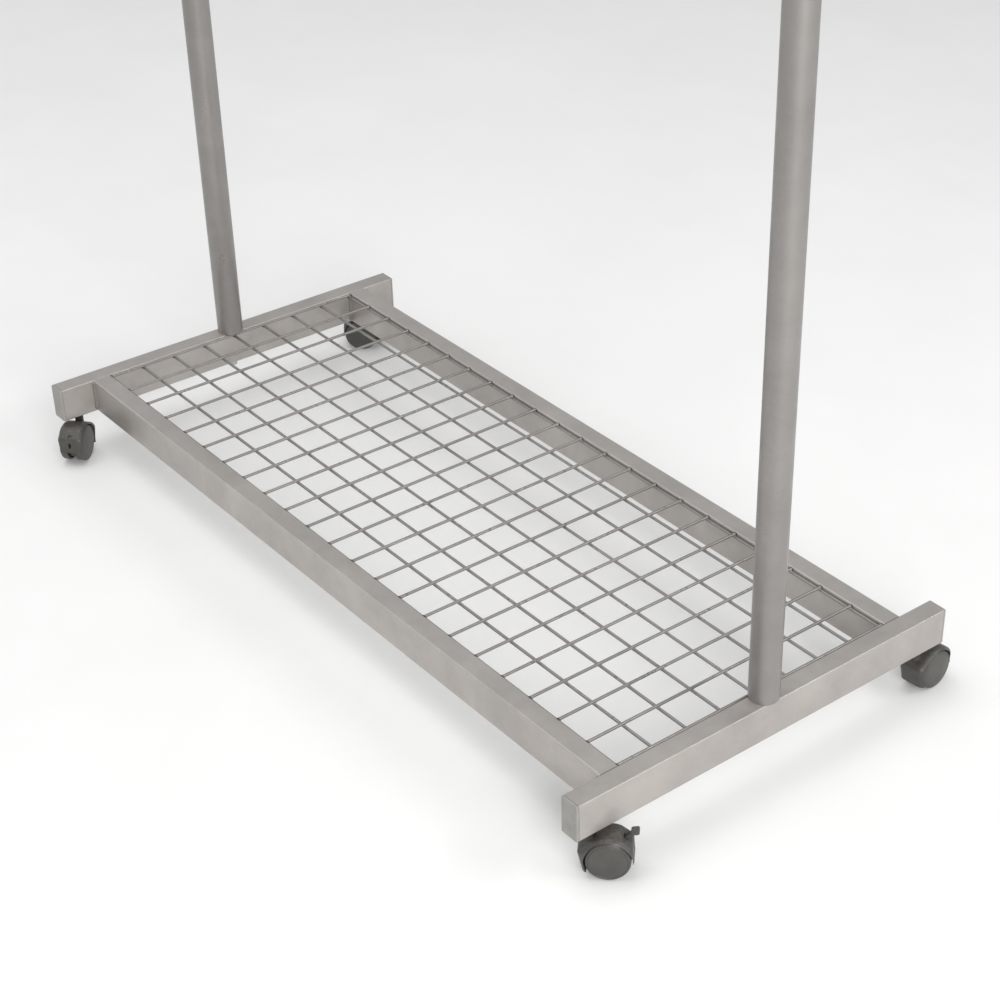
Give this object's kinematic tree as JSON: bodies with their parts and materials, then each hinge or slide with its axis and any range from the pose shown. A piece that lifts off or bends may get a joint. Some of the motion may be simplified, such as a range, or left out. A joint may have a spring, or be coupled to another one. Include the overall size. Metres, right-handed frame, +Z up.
{
  "type": "rolling clothes rack",
  "caption": "Clothes rack on swivel casters: hang rail between two round uprights on a box-tube base with a wire shelf.",
  "frame": {"origin": "on the floor under the middle of the base", "axes": "+X along the rack to its right end, +Y from front to back, +Z up"},
  "size_m": [1.2144, 0.5929, 1.7],
  "materials": {
    "silver_paint": "satin silver powder coat",
    "wire_paint": "satin silver powder coat on wire",
    "grey_plastic": "fine matte moulding",
    "hood_plastic": "fine matte moulding",
    "wheel_plastic": "satin nylon",
    "insert_plastic": "matte moulding",
    "black_steel": "black oxide",
    "zinc_steel": "zinc plate"
  },
  "bodies": {
    "root": {"back_rail": "silver_paint", "caster_stem_back_left": "black_steel", "caster_stem_back_right": "black_steel", "caster_stem_clips": "zinc_steel", "caster_stem_front_left": "black_steel", "caster_stem_front_right": "black_steel", "caster_weld_nuts": "zinc_steel", "foot_bar_end_plugs": "grey_plastic", "foot_bar_left": "silver_paint", "foot_bar_right": "silver_paint", "frame_weld_beads": "silver_paint", "front_rail": "silver_paint", "hang_rail": "silver_paint", "hang_rail_inserts": "insert_plastic", "hang_rail_saddles": "insert_plastic", "hang_rail_screws": "zinc_steel", "shelf_cross_wires": "wire_paint", "shelf_long_wires": "wire_paint", "upright_foot_inserts": "insert_plastic", "upright_left": "silver_paint", "upright_right": "silver_paint", "upright_screw_washers": "zinc_steel", "upright_screws": "zinc_steel", "upright_top_cap_left": "grey_plastic", "upright_top_cap_right": "grey_plastic"},
    "swivel_front_right": {"caster_hood_front_right": "hood_plastic", "caster_axle_front_right": "zinc_steel"},
    "wheel_a_front_right_body": {"wheel_a_front_right": "wheel_plastic"},
    "wheel_b_front_right_body": {"wheel_b_front_right": "wheel_plastic"},
    "brake_lever_front_right_body": {"brake_lever_front_right": "hood_plastic"},
    "swivel_front_left": {"caster_hood_front_left": "hood_plastic", "caster_axle_front_left": "zinc_steel"},
    "wheel_a_front_left_body": {"wheel_a_front_left": "wheel_plastic"},
    "wheel_b_front_left_body": {"wheel_b_front_left": "wheel_plastic"},
    "swivel_back_right": {"caster_hood_back_right": "hood_plastic", "caster_axle_back_right": "zinc_steel"},
    "wheel_a_back_right_body": {"wheel_a_back_right": "wheel_plastic"},
    "wheel_b_back_right_body": {"wheel_b_back_right": "wheel_plastic"},
    "swivel_back_left": {"caster_hood_back_left": "hood_plastic", "caster_axle_back_left": "zinc_steel"},
    "wheel_a_back_left_body": {"wheel_a_back_left": "wheel_plastic"},
    "wheel_b_back_left_body": {"wheel_b_back_left": "wheel_plastic"},
    "brake_lever_back_left_body": {"brake_lever_back_left": "hood_plastic"}
  },
  "joints": [
    {"name": "swivel_front_right_turn", "type": "hinge", "parent": "root", "child": "swivel_front_right", "pos_m": [0.5655, -0.25, 0.04], "axis": [0, 0, 1], "continuous": true},
    {"name": "wheel_a_front_right_spin", "type": "hinge", "parent": "swivel_front_right", "child": "wheel_a_front_right_body", "pos_m": [0.5877, -0.24335, 0.025], "axis": [-0.7314, 0.682, 0], "continuous": true},
    {"name": "wheel_b_front_right_spin", "type": "hinge", "parent": "swivel_front_right", "child": "wheel_b_front_right_body", "pos_m": [0.57058, -0.22739, 0.025], "axis": [-0.7314, 0.682, 0], "continuous": true},
    {"name": "brake_lever_front_right_press", "type": "hinge", "parent": "swivel_front_right", "child": "brake_lever_front_right_body", "pos_m": [0.59053, -0.22316, 0.0464], "axis": [-0.7314, 0.682, 0], "range_deg": [0, 30]},
    {"name": "swivel_front_left_turn", "type": "hinge", "parent": "root", "child": "swivel_front_left", "pos_m": [-0.5655, -0.25, 0.04], "axis": [0, 0, 1], "continuous": true},
    {"name": "wheel_a_front_left_spin", "type": "hinge", "parent": "swivel_front_left", "child": "wheel_a_front_left_body", "pos_m": [-0.56042, -0.27261, 0.025], "axis": [0.7314, 0.682, 0], "continuous": true},
    {"name": "wheel_b_front_left_spin", "type": "hinge", "parent": "swivel_front_left", "child": "wheel_b_front_left_body", "pos_m": [-0.5433, -0.25665, 0.025], "axis": [0.7314, 0.682, 0], "continuous": true},
    {"name": "swivel_back_right_turn", "type": "hinge", "parent": "root", "child": "swivel_back_right", "pos_m": [0.5655, 0.25, 0.04], "axis": [0, 0, 1], "continuous": true},
    {"name": "wheel_a_back_right_spin", "type": "hinge", "parent": "swivel_back_right", "child": "wheel_a_back_right_body", "pos_m": [0.57541, 0.27094, 0.025], "axis": [-0.9962, -0.0872, 0], "continuous": true},
    {"name": "wheel_b_back_right_spin", "type": "hinge", "parent": "swivel_back_right", "child": "wheel_b_back_right_body", "pos_m": [0.5521, 0.2689, 0.025], "axis": [-0.9962, -0.0872, 0], "continuous": true},
    {"name": "swivel_back_left_turn", "type": "hinge", "parent": "root", "child": "swivel_back_left", "pos_m": [-0.5655, 0.25, 0.04], "axis": [0, 0, 1], "continuous": true},
    {"name": "wheel_a_back_left_spin", "type": "hinge", "parent": "swivel_back_left", "child": "wheel_a_back_left_body", "pos_m": [-0.58703, 0.24144, 0.025], "axis": [0.788, -0.6157, 0], "continuous": true},
    {"name": "wheel_b_back_left_spin", "type": "hinge", "parent": "swivel_back_left", "child": "wheel_b_back_left_body", "pos_m": [-0.56859, 0.22704, 0.025], "axis": [0.788, -0.6157, 0], "continuous": true},
    {"name": "brake_lever_back_left_press", "type": "hinge", "parent": "swivel_back_left", "child": "brake_lever_back_left_body", "pos_m": [-0.5881, 0.22108, 0.0464], "axis": [0.788, -0.6157, 0], "range_deg": [0, 30]}
  ]
}
